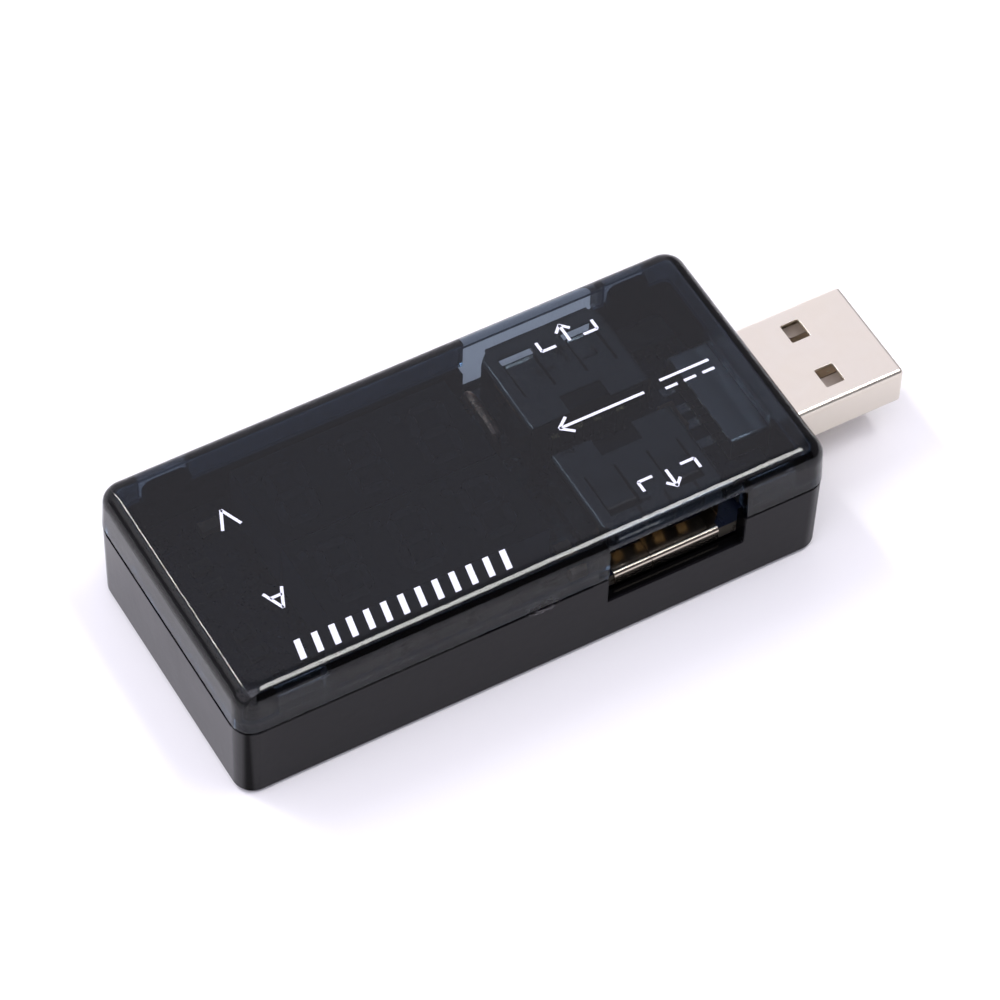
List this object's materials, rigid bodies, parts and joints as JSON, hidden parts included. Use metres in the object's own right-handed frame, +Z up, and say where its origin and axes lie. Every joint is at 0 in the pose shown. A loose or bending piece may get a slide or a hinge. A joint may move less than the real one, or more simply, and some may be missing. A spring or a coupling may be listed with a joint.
{
  "type": "usb power meter",
  "caption": "Pass-through USB power meter: a smoked two-part snap case with a USB-A plug at one end, a USB-A socket in each long side, and LED voltage and current displays under the cover.",
  "frame": {"origin": "centre of the case's flat underside", "axes": "+X along the case towards the plug, +Z up through the displays, +Y towards socket B, the side that the displays read from"},
  "size_m": [0.0754, 0.0288, 0.0146],
  "materials": {
    "smoked_plastic": "smoked translucent, high gloss",
    "black_plastic": "gloss moulded",
    "board": "satin solder mask over glass laminate",
    "nickel_plate": "bright nickel plate",
    "black_nylon": "satin",
    "buff_nylon": "satin, pale buff",
    "gold_plate": "gold flash",
    "display_body": "printed dark face on a grey reflector body",
    "display_segment": "translucent epoxy, unlit",
    "chip_body": "moulded epoxy",
    "capacitor_ceramic": "satin",
    "resistor_body": "glazed",
    "resistance_alloy": "drawn wire"
  },
  "bodies": {
    "case_and_board": {"bottom_shell": "black_plastic", "circuit_board": "board", "plug_shell": "nickel_plate", "plug_insulator": "buff_nylon", "plug_contact_1": "gold_plate", "plug_contact_2": "gold_plate", "plug_contact_3": "gold_plate", "plug_contact_4": "gold_plate", "socket_a_shell": "nickel_plate", "socket_a_insulator": "black_nylon", "socket_a_tail_1": "gold_plate", "socket_a_tail_2": "gold_plate", "socket_a_tail_3": "gold_plate", "socket_a_tail_4": "gold_plate", "socket_b_shell": "nickel_plate", "socket_b_insulator": "black_nylon", "socket_b_tail_1": "gold_plate", "socket_b_tail_2": "gold_plate", "socket_b_tail_3": "gold_plate", "socket_b_tail_4": "gold_plate", "voltage_display_case": "display_body", "voltage_display_diffuser": "display_segment", "current_display_case": "display_body", "current_display_diffuser": "display_segment", "microcontroller": "chip_body", "amplifier_chip": "chip_body", "voltage_regulator": "chip_body", "input_capacitor": "capacitor_ceramic", "output_capacitor": "capacitor_ceramic", "bypass_capacitor": "capacitor_ceramic", "divider_resistor_1": "resistor_body", "divider_resistor_2": "resistor_body", "gain_resistor_1": "resistor_body", "gain_resistor_2": "resistor_body", "shunt_resistor": "resistance_alloy"},
    "cover": {"top_cover": "smoked_plastic"},
    "socket_a_springs": {"socket_a_contact_1": "gold_plate", "socket_a_contact_2": "gold_plate", "socket_a_contact_3": "gold_plate", "socket_a_contact_4": "gold_plate"},
    "socket_b_springs": {"socket_b_contact_1": "gold_plate", "socket_b_contact_2": "gold_plate", "socket_b_contact_3": "gold_plate", "socket_b_contact_4": "gold_plate"}
  },
  "joints": [
    {"name": "cover_lift", "type": "slide", "parent": "case_and_board", "child": "cover", "axis": [0, 0, 1], "range_m": [0, 0.02]},
    {"name": "socket_a_contact_flex", "type": "hinge", "parent": "case_and_board", "child": "socket_a_springs", "pos_m": [0.0145, -0.00545, 0.00962], "axis": [-1, 0, 0], "range_deg": [0, 5], "stiffness_Nm_per_rad": 0.1},
    {"name": "socket_b_contact_flex", "type": "hinge", "parent": "case_and_board", "child": "socket_b_springs", "pos_m": [0.0145, 0.00545, 0.00962], "axis": [1, 0, 0], "range_deg": [0, 5], "stiffness_Nm_per_rad": 0.1}
  ]
}
